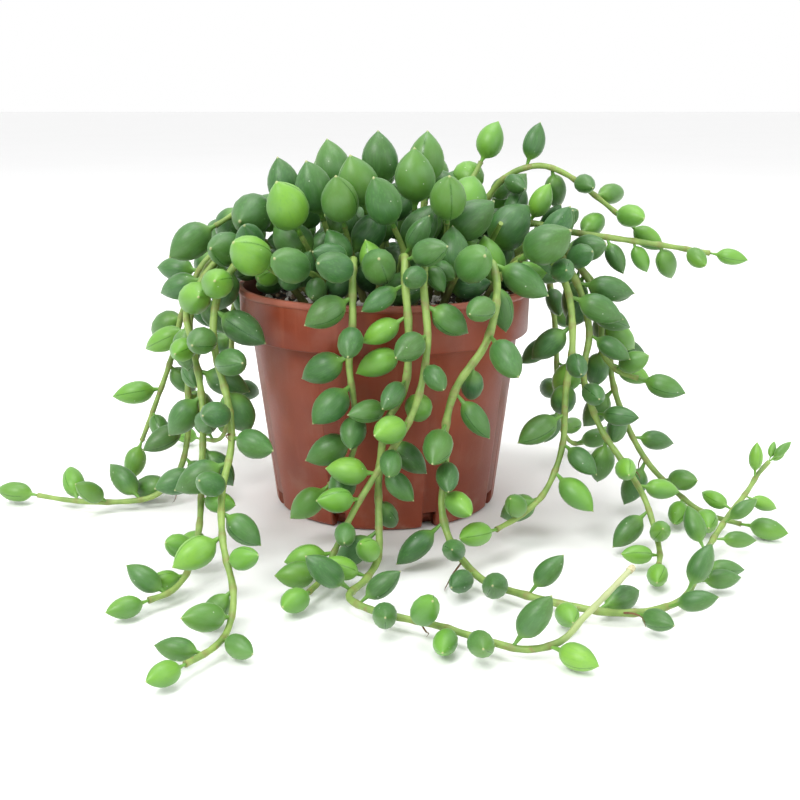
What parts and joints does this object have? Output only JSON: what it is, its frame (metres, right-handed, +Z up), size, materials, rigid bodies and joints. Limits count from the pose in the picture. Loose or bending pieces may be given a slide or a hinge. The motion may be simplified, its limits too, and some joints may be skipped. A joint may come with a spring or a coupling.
{
  "type": "potted string of pearls",
  "caption": "Trailing succulent with fleshy teardrop leaves on thin stems that spill over a round terracotta-coloured plastic nursery pot and lie on the surface around it.",
  "frame": {"origin": "Centre of the pot's foot, on the surface it stands on, on the pot's axis", "axes": "+Z up along the pot's axis; -Y is the front, where the longest stems lie on the surface; +X is right seen from the front"},
  "size_m": [0.2389, 0.1991, 0.1161],
  "materials": {
    "pot": "satin moulded plastic",
    "soil": "loose damp peat",
    "foliage": "waxy living leaf and stem"
  },
  "bodies": {
    "root": {"pot": "pot", "soil": "soil", "crown_left": "foliage", "crown_rim_left": "foliage", "crown_rim_front_left": "foliage", "crown_rim_front": "foliage", "crown_rim_front_right": "foliage", "crown_rim_right": "foliage", "crown_low_left": "foliage", "crown_low_front_left": "foliage", "crown_low_front": "foliage", "crown_low_front_right": "foliage", "crown_low_right": "foliage", "crown_front_left": "foliage", "crown_front": "foliage", "crown_front_centre": "foliage", "crown_front_right": "foliage", "crown_mid_far_left": "foliage", "crown_mid_left": "foliage", "crown_mid": "foliage", "crown_mid_right": "foliage", "crown_tall": "foliage", "crown_back_far_left": "foliage", "crown_back_left": "foliage", "crown_back": "foliage", "crown_back_right": "foliage", "crown_rear_left": "foliage", "crown_rear": "foliage", "crown_rear_right": "foliage", "crown_side_right": "foliage", "trail_left_outer": "foliage", "trail_left_inner": "foliage", "trail_far_left": "foliage", "trail_back_left": "foliage", "trail_front_left": "foliage", "trail_front_arc": "foliage", "trail_front_centre": "foliage", "trail_front_right": "foliage", "trail_right_inner": "foliage", "trail_right": "foliage", "trail_right_short": "foliage", "trail_right_outer": "foliage", "trail_air_upper": "foliage", "trail_air_lower": "foliage", "trail_rear_left": "foliage", "trail_rear": "foliage", "trail_rear_right": "foliage", "trail_side_rear_right": "foliage", "trail_side_rear_left": "foliage", "trail_side_right": "foliage"}
  },
  "joints": []
}
